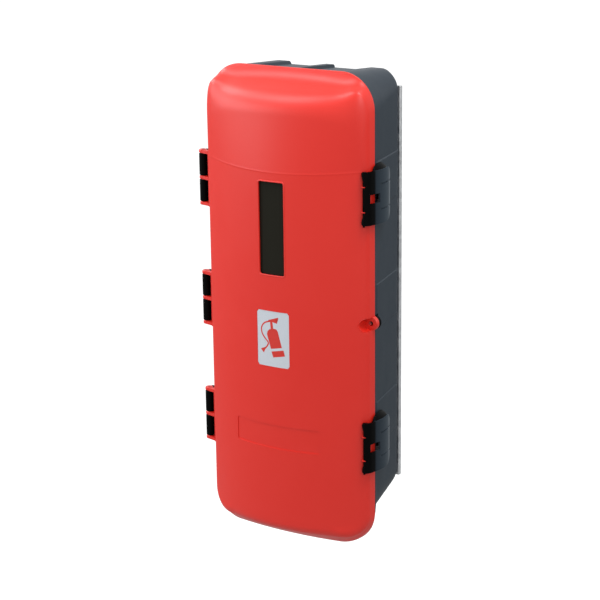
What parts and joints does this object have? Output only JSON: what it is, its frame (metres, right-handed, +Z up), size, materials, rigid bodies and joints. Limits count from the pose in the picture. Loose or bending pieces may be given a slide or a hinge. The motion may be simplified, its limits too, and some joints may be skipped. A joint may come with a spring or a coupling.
{
  "type": "fire extinguisher cabinet",
  "caption": "Wall-hung moulded cabinet for a fire extinguisher, with a bowed door, a smoked window, side hinges and lever latches.",
  "frame": {"origin": "centre of the middle crossbar's rear face, midway between the rails and 395 mm below the door's top edge", "axes": "+Z up, +Y back into the wall, so the door faces -Y and its hinges are on the -X side"},
  "size_m": [0.3477, 0.2036, 0.7985],
  "materials": {
    "door_plastic": "satin moulded red polyethylene",
    "housing_plastic": "satin moulded dark grey polyethylene",
    "black_plastic": "moulded black nylon",
    "window_glazing": "smoked polycarbonate",
    "sign_sheet": "silver sheet with a printed red figure",
    "frame_steel": "galvanised steel section",
    "pin_steel": "drawn steel wire"
  },
  "bodies": {
    "housing": {"housing_shell": "housing_plastic", "mounting_rail_left": "frame_steel", "mounting_rail_right": "frame_steel", "mounting_crossbar_upper": "frame_steel", "mounting_crossbar_middle": "frame_steel", "mounting_crossbar_lower": "frame_steel", "hinge_leaf_upper": "black_plastic", "hinge_leaf_middle": "black_plastic", "hinge_leaf_lower": "black_plastic", "hinge_pin_upper": "pin_steel", "hinge_pin_middle": "pin_steel", "hinge_pin_lower": "pin_steel", "latch_catch_upper": "black_plastic", "latch_catch_lower": "black_plastic", "housing_seal_eyelet": "black_plastic"},
    "door": {"door_shell": "door_plastic", "window_pane": "window_glazing", "sign_plate": "sign_sheet", "door_knuckles_upper": "door_plastic", "door_knuckles_middle": "door_plastic", "door_knuckles_lower": "door_plastic", "door_seal_eyelet": "door_plastic", "latch_pin_upper": "black_plastic", "latch_pin_lower": "black_plastic"},
    "upper_latch": {"latch_lever_upper": "black_plastic"},
    "lower_latch": {"latch_lever_lower": "black_plastic"}
  },
  "joints": [
    {"name": "door_swing", "type": "hinge", "parent": "housing", "child": "door", "pos_m": [-0.1742, -0.1383, 0], "axis": [0, 0, -1], "range_deg": [0, 150]},
    {"name": "upper_latch_swing", "type": "hinge", "parent": "door", "child": "upper_latch", "pos_m": [0.1505, -0.16385, 0.198], "axis": [0, 0, -1], "range_deg": [0, 100]},
    {"name": "lower_latch_swing", "type": "hinge", "parent": "door", "child": "lower_latch", "pos_m": [0.1505, -0.16385, -0.222], "axis": [0, 0, -1], "range_deg": [0, 100]}
  ]
}
